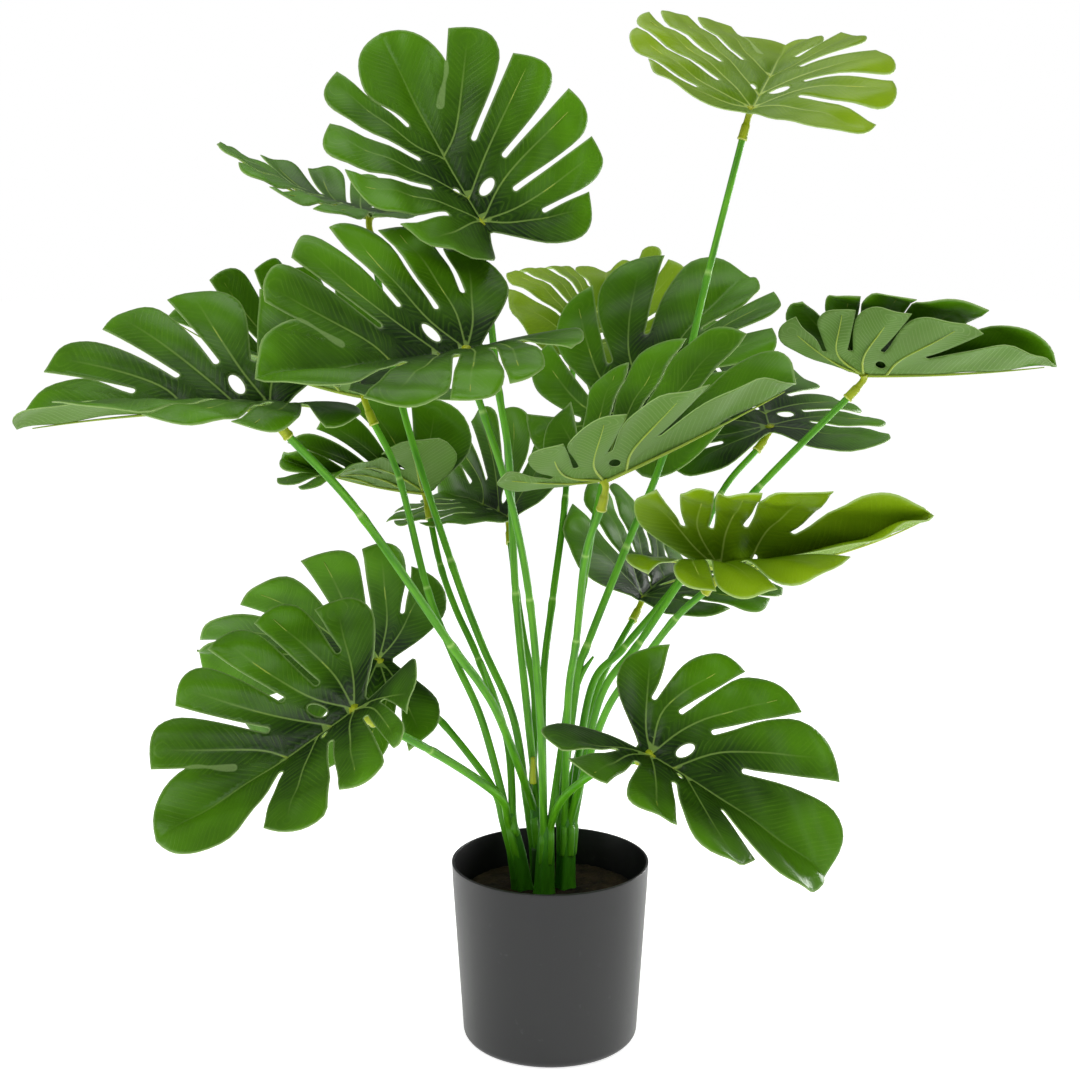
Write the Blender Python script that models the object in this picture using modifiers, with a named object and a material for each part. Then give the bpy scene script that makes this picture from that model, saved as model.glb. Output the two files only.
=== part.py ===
"""An artificial monstera in a plain round pot: moulded stems with plug-in leaves, set in a weighted filling."""

import math
from dataclasses import dataclass

import bpy
from mathutils import Matrix, Vector
from mathutils.geometry import delaunay_2d_cdt

# Driving dimensions, in metres.
POT_HEIGHT = 0.130
POT_RIM_RADIUS = 0.070
POT_FOOT_RADIUS = 0.0625
POT_WALL = 0.0018
POT_FOOT_ROUNDING = 0.006
FILLING_TOP = 0.106
TRUNK_DEPTH = 0.040
STEM_RADIUS = 0.0025
STEM_TOP_RADIUS = 0.0019
STALK_LENGTH = 0.022
STALK_RADIUS = 0.0026
BLADE_THICKNESS = 0.0008
GAP = 0.0003

# The leaf is drawn in midrib lengths: u runs from the stalk to the tip, v out to one side.
SINUS = (-0.075, 0.012)
SLIT_END_RADIUS = 0.013


@dataclass(frozen=True)
class Margin:
    """One side of the leaf, from the tip to the stalk.

    Each lobe has a sharp corner and a round shoulder, and the slit after it ends near the midrib.
    """

    corners: tuple
    shoulders: tuple
    slits: tuple


FULL_SIDE = Margin(
    corners=((1.00, 0.00), (0.86, 0.29), (0.62, 0.50), (0.36, 0.66), (0.12, 0.66), (-0.13, 0.53)),
    shoulders=((0.77, 0.21), (0.66, 0.45), (0.42, 0.60), (0.15, 0.63), (-0.08, 0.60), (-0.33, 0.30)),
    slits=((0.555, 0.09), (0.35, 0.15), (0.22, 0.235), (0.06, 0.20), (-0.10, 0.27)),
)
WIDE_TIP_SIDE = Margin(
    corners=((1.00, 0.00), (0.81, 0.40), (0.49, 0.57), (0.175, 0.59), (-0.18, 0.525)),
    shoulders=((0.86, 0.27), (0.50, 0.53), (0.20, 0.575), (-0.04, 0.55), (-0.33, 0.28)),
    slits=((0.40, 0.165), (0.19, 0.24), (0.015, 0.245), (-0.12, 0.24)),
)
PLAIN_SIDE = Margin(
    corners=((1.00, 0.00), (0.88, 0.29), (0.64, 0.48), (0.38, 0.60), (0.02, 0.60)),
    shoulders=((0.79, 0.21), (0.70, 0.42), (0.44, 0.58), (0.12, 0.58), (-0.32, 0.34)),
    slits=((0.53, 0.10), (0.355, 0.15), (0.20, 0.20), (0.055, 0.21)),
)
BROAD_LOBE_SIDE = Margin(
    corners=((1.00, 0.00), (0.62, 0.36), (0.27, 0.50), (-0.04, 0.52), (-0.26, 0.42)),
    shoulders=((0.80, 0.27), (0.39, 0.55), (0.06, 0.57), (-0.20, 0.50), (-0.42, 0.15)),
    slits=((0.41, 0.10), (0.165, 0.13), (-0.02, 0.15), (-0.13, 0.12)),
)


@dataclass(frozen=True)
class Trunk:
    """A thick moulded trunk: its foot on the filling, its top where the stems leave it, and its radii."""

    name: str
    foot: tuple
    top: tuple
    foot_radius: float
    top_radius: float
    ring_radius: float


TRUNKS = {
    trunk.name: trunk
    for trunk in (
        Trunk("left", (-0.019, 0.008), (-0.030, -0.006, 0.162), 0.0068, 0.0060, 0.0038),
        Trunk("back", (-0.006, 0.021), (-0.013, 0.015, 0.168), 0.0062, 0.0060, 0.0038),
        Trunk("front", (-0.004, -0.001), (-0.002, -0.008, 0.160), 0.0066, 0.0060, 0.0038),
        Trunk("right", (0.011, 0.010), (0.013, 0.008, 0.164), 0.0066, 0.0078, 0.0054),
    )
}


@dataclass(frozen=True)
class Leaf:
    """A leaf and the stem that carries it. Lengths are in millimetres and angles in degrees.

    stalk is where the stalk meets the midrib. heading, pitch and roll aim the midrib. droop bends it over its
    length, twist turns the leaf about it, and back bends the part behind the stalk. fold lifts each half from the
    midrib, and curl bends it onwards, left then right. seat is the stem's place round the trunk's top, and route
    its points from there to the stalk.
    """

    name: str
    trunk: str
    seat: float
    route: tuple
    stalk: tuple
    heading: float
    pitch: float
    roll: float
    length: float
    fold: tuple
    curl: tuple
    left: Margin
    right: Margin
    droop: float = 0.0
    twist: float = 0.0
    back: float = 0.0
    pale: bool = False


LEAVES = (
    Leaf("top_centre", "back", 0, ((-16, -2, 238), (-24, -10, 326), (-28, -16, 417), (-35, -19, 467),
         (-43, -21, 540)), (-45, -21, 577), heading=152, pitch=54, roll=-18, length=145, fold=(10, 30),
         curl=(10, -5), left=PLAIN_SIDE, right=FULL_SIDE, droop=-10, twist=-30, back=-70),
    Leaf("top_right", "right", 180, ((19, 3, 261), (26, 3, 286), (53, 5, 356), (80, 7, 426), (107, 10, 543)),
         (135, 13, 652), heading=65, pitch=33, roll=35, length=143, fold=(0, 45), curl=(5, -70),
         left=FULL_SIDE, right=PLAIN_SIDE, droop=25, twist=-10, back=-90, pale=True),
    Leaf("upper_left", "back", 180, ((-26, 6, 232), (-48, 11, 284), (-70, 19, 343), (-105, 37, 454)),
         (-126, 57, 582), heading=170, pitch=13, roll=20, length=125, fold=(-10, 20), curl=(-30, 60),
         left=FULL_SIDE, right=PLAIN_SIDE, droop=-25, twist=5, back=-60),
    Leaf("centre_left", "front", 225, ((-7, -40, 243), (-14, -64, 332), (-26, -84, 401), (-43, -103, 460)),
         (-52, -111, 498), heading=211, pitch=-7, roll=-68, length=150, fold=(80, -10), curl=(-55, -25),
         left=WIDE_TIP_SIDE, right=FULL_SIDE, droop=-20, twist=-15),
    Leaf("far_left", "back", 270, ((-34, -45, 245), (-47, -57, 273), (-66, -72, 304), (-120, -112, 397)),
         (-169, -140, 466), heading=192, pitch=1, roll=-10, length=148, fold=(25, 50), curl=(-60, -30),
         left=WIDE_TIP_SIDE, right=PLAIN_SIDE, droop=10, twist=15, back=-10),
    Leaf("back_left", "left", 90, ((-48, 0, 232), (-68, 3, 278), (-86, 8, 325), (-105, 14, 402)),
         (-129, 20, 460), heading=216, pitch=11, roll=23, length=150, fold=(-10, 65), curl=(-35, 35),
         left=PLAIN_SIDE, right=PLAIN_SIDE, droop=-25, twist=-15, back=-10),
    Leaf("lower_back_left", "left", 0, ((-31, 20, 213), (-52, 47, 265), (-69, 66, 298), (-81, 82, 328)),
         (-94, 106, 380), heading=156, pitch=0, roll=-24, length=122, fold=(75, 70), curl=(-65, 25),
         left=PLAIN_SIDE, right=PLAIN_SIDE, droop=-20, twist=-55, back=-10),
    Leaf("low_centre", "back", 90, ((-11, 30, 239), (-19, 62, 277), (-25, 88, 309)), (-31, 127, 357),
         heading=120, pitch=9, roll=0, length=125, fold=(10, 65), curl=(-30, 15), left=PLAIN_SIDE,
         right=PLAIN_SIDE, droop=15, twist=-20, back=-20),
    Leaf("back_right", "front", 45, ((15, 20, 255), (25, 47, 326), (39, 70, 392)), (61, 86, 440),
         heading=36, pitch=57, roll=-4, length=150, fold=(30, 0), curl=(15, -25), left=WIDE_TIP_SIDE,
         right=PLAIN_SIDE, droop=30, twist=5, back=10),
    Leaf("back_light", "front", 135, ((-5, 37, 247), (2, 74, 303), (12, 120, 373)), (23, 208, 481),
         heading=58, pitch=42, roll=54, length=127, fold=(30, 25), curl=(-90, 40), left=PLAIN_SIDE,
         right=PLAIN_SIDE, droop=40, twist=-50, back=-10, pale=True),
    Leaf("centre_right", "right", 240, ((12, -32, 257), (17, -56, 303), (22, -80, 364)), (32, -101, 417),
         heading=-27, pitch=25, roll=19, length=141, fold=(30, 35), curl=(10, 5), left=WIDE_TIP_SIDE,
         right=WIDE_TIP_SIDE, droop=-5, back=-20),
    Leaf("right", "right", 0, ((35, 0, 248), (62, -6, 290), (102, -10, 352), (142, -13, 400)),
         (209, -18, 477), heading=-33, pitch=1, roll=40, length=131, fold=(75, 65), curl=(75, 35),
         left=WIDE_TIP_SIDE, right=WIDE_TIP_SIDE, droop=-10, twist=5),
    Leaf("right_back", "right", 60, ((29, 18, 250), (53, 29, 278), (98, 52, 329), (125, 70, 384)),
         (161, 87, 431), heading=92, pitch=24, roll=-10, length=150, fold=(10, -15), curl=(-25, 5),
         left=WIDE_TIP_SIDE, right=PLAIN_SIDE, twist=30, back=-15),
    Leaf("light_right", "right", 300, ((37, -40, 248), (59, -63, 288), (81, -83, 324)), (106, -103, 360),
         heading=-20, pitch=5, roll=39, length=146, fold=(75, 65), curl=(80, -75), left=WIDE_TIP_SIDE,
         right=WIDE_TIP_SIDE, droop=-35, twist=15, back=-15, pale=True),
    Leaf("right_back_low", "right", 120, ((32, 53, 232), (48, 81, 261)), (71, 114, 298), heading=65,
         pitch=12, roll=14, length=147, fold=(40, 35), curl=(0, -65), left=PLAIN_SIDE, right=FULL_SIDE,
         droop=35),
    Leaf("low_left", "left", 270, ((-33, -38, 186), (-48, -57, 206), (-79, -89, 237)), (-123, -134, 277),
         heading=198, pitch=-34, roll=-41, length=143, fold=(35, 0), curl=(0, 5), left=BROAD_LOBE_SIDE,
         right=FULL_SIDE, droop=-15, twist=-10, back=-90),
    Leaf("low_left_back", "left", 180, ((-38, -5, 179), (-50, 0, 197), (-78, 11, 229)), (-122, 26, 270),
         heading=186, pitch=6, roll=-62, length=133, fold=(10, 45), curl=(-25, -15), left=WIDE_TIP_SIDE,
         right=FULL_SIDE, droop=25, twist=-55),
    Leaf("low_right", "front", 315, ((8, -30, 184), (22, -56, 206), (40, -88, 227)), (61, -148, 252),
         heading=-19, pitch=-26, roll=43, length=131, fold=(10, 35), curl=(5, 30), left=WIDE_TIP_SIDE,
         right=BROAD_LOBE_SIDE, droop=20, back=55),
)


def clear_scene():
    """Removes every object of the open file."""
    for obj in list(bpy.data.objects):
        bpy.data.objects.remove(obj, do_unlink=True)


def new_collection(name, hidden=False):
    """A collection linked to the scene; the one for cutters is left out of renders."""
    collection = bpy.data.collections.new(name)
    bpy.context.scene.collection.children.link(collection)
    collection.hide_render = hidden
    return collection


def material(name, colour, roughness):
    """A plain Principled material."""
    made = bpy.data.materials.new(name)
    made.use_nodes = True
    shader = made.node_tree.nodes["Principled BSDF"]
    shader.inputs["Base Color"].default_value = (*colour, 1.0)
    shader.inputs["Roughness"].default_value = roughness
    return made


def add_object(name, data, collection, finish=None):
    """An object for this mesh or curve, in a collection, with its material."""
    obj = bpy.data.objects.new(name, data)
    collection.objects.link(obj)
    if finish:
        data.materials.append(finish)
    return obj


def turned(name, profile, steps, collection, finish=None):
    """A profile of (radius, height) points, run down the outer side and turned about the Z axis."""
    mesh = bpy.data.meshes.new(name)
    points = [(radius, 0.0, height) for radius, height in profile]
    mesh.from_pydata(points, [(i, i + 1) for i in range(len(points) - 1)], [])
    obj = add_object(name, mesh, collection, finish)
    screw = obj.modifiers.new("turn", "SCREW")
    screw.steps = steps
    screw.render_steps = steps
    screw.use_merge_vertices = True
    screw.merge_threshold = 0.0001
    return obj


def arc(centre, radius, start, end, count):
    """Points of an arc in the plane of a profile, angles in degrees from the outward direction."""
    angles = [math.radians(start + (end - start) * i / (count - 1)) for i in range(count)]
    return [(centre[0] + radius * math.cos(a), centre[1] + radius * math.sin(a)) for a in angles]


def build_pot(collection, finish):
    """A thin moulded shell with a slight taper, a plain rim and a rounded foot, open at the top."""
    centre = (POT_FOOT_RADIUS - POT_FOOT_ROUNDING, POT_FOOT_ROUNDING)
    foot = arc(centre, POT_FOOT_ROUNDING, 0, -90, 5)
    profile = [(POT_RIM_RADIUS, POT_HEIGHT), *foot, (0.0, 0.0)]
    pot = turned("pot", profile, 48, collection, finish)
    shell = pot.modifiers.new("wall", "SOLIDIFY")
    shell.thickness = POT_WALL
    shell.offset = -1.0
    return pot


def inner_radius(height):
    """The clear radius inside the pot's wall at a height."""
    share = (height - POT_FOOT_ROUNDING) / (POT_HEIGHT - POT_FOOT_ROUNDING)
    return POT_FOOT_RADIUS + (POT_RIM_RADIUS - POT_FOOT_RADIUS) * share - POT_WALL


def build_filling(collection, cutters, finish):
    """The weighted filling, cast in the pot, with a socket for each trunk."""
    low = POT_WALL + 0.0006
    side = 0.0008
    profile = [
        (0.0, FILLING_TOP + 0.001),
        (0.030, FILLING_TOP),
        (inner_radius(FILLING_TOP) - side - 0.003, FILLING_TOP - 0.001),
        (inner_radius(FILLING_TOP - 0.003) - side, FILLING_TOP - 0.003),
        (inner_radius(0.010) - side, 0.010),
        (POT_FOOT_RADIUS - POT_FOOT_ROUNDING - POT_WALL, low),
        (0.0, low),
    ]
    filling = turned("filling", profile, 40, collection, finish)
    for trunk in TRUNKS.values():
        socket = trunk_tube(f"socket_{trunk.name}", trunk, 2 * GAP, cutters)
        socket = as_mesh(socket, cutters)
        socket.hide_render = True
        socket.display_type = "WIRE"
        cut = filling.modifiers.new(socket.name, "BOOLEAN")
        cut.operation = "DIFFERENCE"
        cut.object = socket
    return filling


def tube(name, points, radii, collection, finish=None, resolution=2):
    """A tube with closed ends along a list of points, with its own radius at each."""
    curve = bpy.data.curves.new(name, "CURVE")
    curve.dimensions = "3D"
    curve.bevel_depth = 1.0
    curve.bevel_resolution = resolution
    curve.use_fill_caps = True
    spline = curve.splines.new("POLY")
    spline.points.add(len(points) - 1)
    for knot, point, radius in zip(spline.points, points, radii):
        knot.co = (*point, 1.0)
        knot.radius = radius
    return add_object(name, curve, collection, finish)


def as_mesh(obj, collection):
    """The mesh of a curve, with its caps welded, in the curve's place."""
    bpy.context.view_layer.update()
    graph = bpy.context.evaluated_depsgraph_get()
    mesh = bpy.data.meshes.new_from_object(obj.evaluated_get(graph))
    name = obj.name
    bpy.data.objects.remove(obj, do_unlink=True)
    made = add_object(name, mesh, collection)
    weld = made.modifiers.new("weld", "WELD")
    weld.merge_threshold = 0.00002
    return made


def smooth_path(points, count):
    """Evenly spread points of a smooth curve through the given ones."""
    ends = [2 * points[0] - points[1], *points, 2 * points[-1] - points[-2]]
    fine = []
    for a, b, c, d in zip(ends, ends[1:], ends[2:], ends[3:]):
        for step in range(12):
            t = step / 12
            fine.append(0.5 * ((2 * b) + (c - a) * t + (2 * a - 5 * b + 4 * c - d) * t * t
                               + (3 * b - a - 3 * c + d) * t ** 3))
    fine.append(points[-1])
    lengths = [0.0]
    for a, b in zip(fine, fine[1:]):
        lengths.append(lengths[-1] + (b - a).length)
    path = []
    for index in range(count):
        target = lengths[-1] * index / (count - 1)
        after = next((i for i, length in enumerate(lengths) if length >= target - 1e-9), len(fine) - 1)
        after = max(after, 1)
        share = (target - lengths[after - 1]) / (lengths[after] - lengths[after - 1])
        path.append(fine[after - 1].lerp(fine[after], share))
    return path


def trunk_tube(name, trunk, growth, collection, finish=None):
    """A trunk from its end deep in the filling to its flat top."""
    foot = Vector((*trunk.foot, FILLING_TOP))
    low = foot - Vector((0, 0, TRUNK_DEPTH + growth))
    top = Vector(trunk.top)
    neck = top - Vector((0, 0, 0.004))
    bend = foot.lerp(neck, 0.45) + Vector((0, 0, 0.004))
    points = [low, foot - Vector((0, 0, 0.004)), *smooth_path([foot, bend, neck], 5), top]
    shares = [0.0, 0.0, 0.0, 0.25, 0.5, 0.75, 1.0, 1.0]
    radii = [trunk.foot_radius + growth + (trunk.top_radius - trunk.foot_radius) * s for s in shares]
    return tube(name, points, radii, collection, finish, resolution=4)


def leaf_axes(leaf):
    """The leaf's own axes: along the midrib, to its left, and up from its face."""
    heading = math.radians(leaf.heading)
    pitch = math.radians(leaf.pitch)
    roll = math.radians(leaf.roll)
    along = Vector((math.cos(pitch) * math.cos(heading), math.cos(pitch) * math.sin(heading), math.sin(pitch)))
    level = Vector((-math.sin(heading), math.cos(heading), 0.0))
    up = along.cross(level)
    left = level * math.cos(roll) + up * math.sin(roll)
    return along, left, along.cross(left)


def bent_arc(distance, start, rate):
    """Where an arc ends, along and across its first direction, from a start angle and a turn per length."""
    rate = rate if abs(rate) > 1e-5 else 1e-5
    end = start + rate * distance
    return (math.sin(end) - math.sin(start)) / rate, (math.cos(start) - math.cos(end)) / rate


def bent(leaf, u, v):
    """The point of the bent leaf in space for a point of its flat outline."""
    side = 0 if v >= 0 else 1
    across, rise = bent_arc(abs(v), math.radians(leaf.fold[side]), math.radians(leaf.curl[side]))
    across = across if v >= 0 else -across
    turn = math.radians(leaf.twist) * u
    across, rise = (across * math.cos(turn) - rise * math.sin(turn),
                    across * math.sin(turn) + rise * math.cos(turn))
    rate = math.radians(leaf.droop if u >= 0 else leaf.back)
    reach, drop = bent_arc(abs(u), 0.0, rate)
    lean = rate * abs(u)
    ahead = math.copysign(1.0, u) * (reach + rise * math.sin(lean))
    height = rise * math.cos(lean) - drop
    along, left, up = leaf_axes(leaf)
    size = leaf.length / 1000
    return Vector(leaf.stalk) / 1000 + (along * ahead + left * across + up * height) * size


def bezier(a, b, c, d, count):
    """Points of a cubic curve from a up to, but without, d."""
    points = []
    for step in range(count):
        t = step / count
        points.append(a * (1 - t) ** 3 + b * 3 * t * (1 - t) ** 2 + c * 3 * t * t * (1 - t) + d * t ** 3)
    return points


def half_outline(margin, count):
    """The outline of one side from the tip to the sinus behind the stalk."""
    slits = [*margin.slits, SINUS]
    outline = []
    for index, (corner, shoulder, slit) in enumerate(zip(margin.corners, margin.shoulders, slits)):
        corner, shoulder, slit = Vector(corner), Vector(shoulder), Vector(slit)
        chord = shoulder - corner
        outward = Vector((-chord.y, chord.x))
        if outward.dot((corner + shoulder) / 2 - Vector((0.1, 0.0))) < 0:
            outward = -outward
        along = (slit - corner).normalized() * chord.length
        outline += bezier(corner, corner + chord * 0.35 + outward * 0.20, shoulder - along * 0.45, shoulder, count)
        if index == len(margin.slits):
            outline += bezier(shoulder, shoulder + along * 0.35, slit + (shoulder - slit) * 0.25, slit, count)
            break
        following = Vector(margin.corners[index + 1])
        axis = ((shoulder + following) / 2 - slit).normalized()
        across = Vector((-axis.y, axis.x))
        if across.dot(shoulder - following) < 0:
            across = -across
        centre = slit + axis * SLIT_END_RADIUS
        entry = centre + across * SLIT_END_RADIUS
        leave = centre - across * SLIT_END_RADIUS
        outline += bezier(shoulder, shoulder + along * 0.35, entry + axis * 0.10, entry, count)
        outline += [entry, slit, leave]
        outline += bezier(leave, leave + axis * 0.10, following + (leave - following) * 0.3, following, count)[1:]
    outline.append(Vector(slits[-1]))
    return outline


def inner_points(margin):
    """Points along each lobe's rib, from the midrib outwards, where the mesh follows the bend."""
    points = []
    slits = [*margin.slits, SINUS]
    for index in range(1, len(margin.corners)):
        end = (Vector(margin.corners[index]) + Vector(margin.shoulders[index])) / 2
        start = Vector((max(0.0, slits[index - 1][0] * 0.8), 0.0))
        points += [start.lerp(end, share) for share in (0.33, 0.66, 0.9)]
    return points


def build_blade(leaf, collection, finish):
    """The blade: the flat outline meshed through its ribs, bent in space and given its thickness."""
    left = half_outline(leaf.left, 2)
    right = [Vector((point.x, -point.y)) for point in half_outline(leaf.right, 2)]
    loop = left + right[:0:-1]
    spine = [Vector((0.9 - 0.15 * step, 0.0)) for step in range(7)]
    ribs = inner_points(leaf.left) + [Vector((point.x, -point.y)) for point in inner_points(leaf.right)]
    count = len(loop)
    edges = [(i, (i + 1) % count) for i in range(count)]
    edges += [(count + i, count + i + 1) for i in range(len(spine) - 1)]
    points, _, faces, *_ = delaunay_2d_cdt(loop + spine + ribs, edges, [list(range(count))], 1, 1e-6)
    mesh = bpy.data.meshes.new(f"leaf_{leaf.name}")
    mesh.from_pydata([bent(leaf, point.x, point.y) for point in points], [], [list(face) for face in faces])
    mesh.shade_smooth()
    obj = add_object(f"leaf_{leaf.name}", mesh, collection, finish)
    shell = obj.modifiers.new("thickness", "SOLIDIFY")
    shell.thickness = BLADE_THICKNESS
    shell.offset = 0.0
    return obj


def stalk_points(leaf):
    """The stalk's route, from under the blade to the end that plugs onto the stem."""
    up = leaf_axes(leaf)[2]
    joint = Vector(leaf.stalk) / 1000
    away = (Vector(leaf.route[-1]) / 1000 - joint).normalized()
    first = joint - up * (BLADE_THICKNESS / 2 + 2 * GAP)
    second = first - up * 0.004 + away * 0.001
    third = second - up * 0.001 + away * 0.005
    return [first, second, third, third + away * (STALK_LENGTH - 0.010)], away


def build_stalk(leaf, collection, finish):
    """The socket under the blade, widest where it plugs onto the stem."""
    points, _ = stalk_points(leaf)
    radii = [STALK_RADIUS * share for share in (0.70, 0.80, 0.90, 1.15)]
    return tube(f"stalk_{leaf.name}", points, radii, collection, finish)


def build_stem(leaf, collection, finish):
    """A stem from its seat on the trunk, straight up a little and then along its route to the socket."""
    trunk = TRUNKS[leaf.trunk]
    seat = math.radians(leaf.seat)
    start = Vector(trunk.top) + Vector((math.cos(seat), math.sin(seat), 0.0)) * trunk.ring_radius
    start.z += GAP
    points, away = stalk_points(leaf)
    end = points[-1] + away * GAP
    lift = start + Vector((0, 0, 0.003))
    route = [start, lift, *[Vector(point) / 1000 for point in leaf.route], end]
    path = [start, *smooth_path(route[1:], 10)]
    radii = [STEM_RADIUS + (STEM_TOP_RADIUS - STEM_RADIUS) * i / (len(path) - 1) for i in range(len(path))]
    return tube(f"stem_{leaf.name}", path, radii, collection, finish)


def main():
    clear_scene()
    collection = new_collection("potted_monstera")
    cutters = new_collection("cutters", hidden=True)
    pot_finish = material("pot_plastic", (0.035, 0.035, 0.038), 0.42)
    filling_finish = material("filling_cement", (0.020, 0.016, 0.013), 0.95)
    stem_finish = material("stem_plastic", (0.070, 0.360, 0.012), 0.45)
    stalk_finish = material("stalk_plastic", (0.390, 0.480, 0.010), 0.45)
    dark_finish = material("leaf_dark", (0.020, 0.115, 0.010), 0.50)
    pale_finish = material("leaf_pale", (0.145, 0.330, 0.010), 0.50)
    build_pot(collection, pot_finish)
    build_filling(collection, cutters, filling_finish)
    for trunk in TRUNKS.values():
        trunk_tube(f"trunk_{trunk.name}", trunk, 0.0, collection, stem_finish)
    for leaf in LEAVES:
        build_stem(leaf, collection, stem_finish)
        build_stalk(leaf, collection, stalk_finish)
        build_blade(leaf, collection, pale_finish if leaf.pale else dark_finish)
    bpy.context.view_layer.update()


if __name__ == "__main__":
    main()
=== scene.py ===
"""The looks of an artificial monstera in a plain pot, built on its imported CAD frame."""

import logging
import math
from dataclasses import dataclass
from enum import Enum

import bpy
import numpy as np
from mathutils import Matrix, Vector
from mathutils.geometry import delaunay_2d_cdt


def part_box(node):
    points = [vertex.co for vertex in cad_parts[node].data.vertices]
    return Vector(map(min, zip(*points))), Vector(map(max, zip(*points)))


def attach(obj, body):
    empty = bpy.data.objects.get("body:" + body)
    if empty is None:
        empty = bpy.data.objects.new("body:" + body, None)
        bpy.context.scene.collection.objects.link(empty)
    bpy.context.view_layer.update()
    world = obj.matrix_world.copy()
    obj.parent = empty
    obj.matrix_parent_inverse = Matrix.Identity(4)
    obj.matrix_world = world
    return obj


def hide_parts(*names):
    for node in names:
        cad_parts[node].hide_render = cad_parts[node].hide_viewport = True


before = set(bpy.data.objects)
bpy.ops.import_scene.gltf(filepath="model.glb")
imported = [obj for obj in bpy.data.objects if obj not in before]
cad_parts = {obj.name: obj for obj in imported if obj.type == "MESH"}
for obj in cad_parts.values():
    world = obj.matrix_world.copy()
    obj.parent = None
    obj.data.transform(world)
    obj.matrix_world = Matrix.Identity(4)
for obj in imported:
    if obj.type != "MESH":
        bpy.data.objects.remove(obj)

LOG = logging.getLogger("monstera")
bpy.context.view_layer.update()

# Driving dimensions, in metres; the pot's and the filling's come from the frame.
POT_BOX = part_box("pot")
FILLING_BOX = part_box("filling")
POT_WALL = 0.0018
POT_FOOT_RADIUS = 0.0625
POT_FOOT_ROUNDING = 0.006
STEM_RADIUS = 0.0029
STEM_TOP_RADIUS = 0.0023
STALK_LENGTH = 0.022
JOINT_SPACING = 0.065  # the least length of one plugged tube
STALK_RADIUS = 0.0026
BLADE_THICKNESS = 0.0007
GRID = 0.019  # the blade's mesh size, in midrib lengths
VEINS = 36.0  # fine veins in a midrib length, about 4 mm apart

# The leaf is drawn in midrib lengths: u runs from the stalk to the tip, v out to one side.
SINUS = (-0.075, 0.012)
SLIT_END_RADIUS = 0.013
GROOVE_DEPTH = 0.0007
MIDRIB_DEPTH = 0.0008
SWELL = 0.0012
MARGIN_DROOP = 0.0026
RIPPLE = 0.0014
MIDRIB_RADIUS = 0.0014
RIB_RADIUS = 0.0009
MIDRIB_SINK = 0.0018  # how deep under the film the ribs' centre lines start
RIB_SINK = 0.0011
STEM_RINGS = 190
SOCKET_RINGS = 40
CLOSING_RADIUS = 0.0002  # a ring this small is merged into a point
HOLE = (0.13, 0.10, 0.050, 0.026, 63.0)  # place, half axes and the long axis's angle
PINHOLE = (0.17, 0.045, 0.020, 0.012, 50.0)


class Tone(Enum):
    """The two colours that the leaves are moulded in."""

    DARK = "dark"
    PALE = "pale"


@dataclass(frozen=True)
class Margin:
    """One side of the leaf, from the tip to the stalk.

    Each lobe has a sharp corner and a round shoulder, and the slit after it ends near the midrib.
    """

    corners: tuple
    shoulders: tuple
    slits: tuple


FULL_SIDE = Margin(
    corners=((1.00, 0.00), (0.86, 0.29), (0.62, 0.50), (0.36, 0.66), (0.12, 0.66), (-0.13, 0.53)),
    shoulders=((0.77, 0.21), (0.66, 0.45), (0.42, 0.60), (0.15, 0.63), (-0.08, 0.60), (-0.33, 0.30)),
    slits=((0.555, 0.09), (0.35, 0.15), (0.22, 0.235), (0.06, 0.20), (-0.10, 0.27)),
)
WIDE_TIP_SIDE = Margin(
    corners=((1.00, 0.00), (0.81, 0.40), (0.49, 0.57), (0.175, 0.59), (-0.18, 0.525)),
    shoulders=((0.86, 0.27), (0.50, 0.53), (0.20, 0.575), (-0.04, 0.55), (-0.33, 0.28)),
    slits=((0.40, 0.165), (0.19, 0.24), (0.015, 0.245), (-0.12, 0.24)),
)
PLAIN_SIDE = Margin(
    corners=((1.00, 0.00), (0.88, 0.29), (0.64, 0.48), (0.38, 0.60), (0.02, 0.60)),
    shoulders=((0.79, 0.21), (0.70, 0.42), (0.44, 0.58), (0.12, 0.58), (-0.32, 0.34)),
    slits=((0.53, 0.10), (0.355, 0.15), (0.20, 0.20), (0.055, 0.21)),
)
BROAD_LOBE_SIDE = Margin(
    corners=((1.00, 0.00), (0.62, 0.36), (0.27, 0.50), (-0.04, 0.52), (-0.26, 0.42)),
    shoulders=((0.80, 0.27), (0.39, 0.55), (0.06, 0.57), (-0.20, 0.50), (-0.42, 0.15)),
    slits=((0.41, 0.10), (0.165, 0.13), (-0.02, 0.15), (-0.13, 0.12)),
)


@dataclass(frozen=True)
class Trunk:
    """A thick moulded trunk: its foot and radius, and the top and the ring where its stems leave it."""

    name: str
    foot: tuple
    top: tuple
    foot_radius: float
    ring_radius: float


TRUNKS = {
    trunk.name: trunk
    for trunk in (
        Trunk("left", (-0.019, 0.008), (-0.030, -0.006, 0.162), 0.0068, 0.0038),
        Trunk("back", (-0.006, 0.021), (-0.013, 0.015, 0.168), 0.0062, 0.0038),
        Trunk("front", (-0.004, -0.001), (-0.002, -0.008, 0.160), 0.0066, 0.0038),
        Trunk("right", (0.011, 0.010), (0.013, 0.008, 0.164), 0.0066, 0.0054),
    )
}


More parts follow.
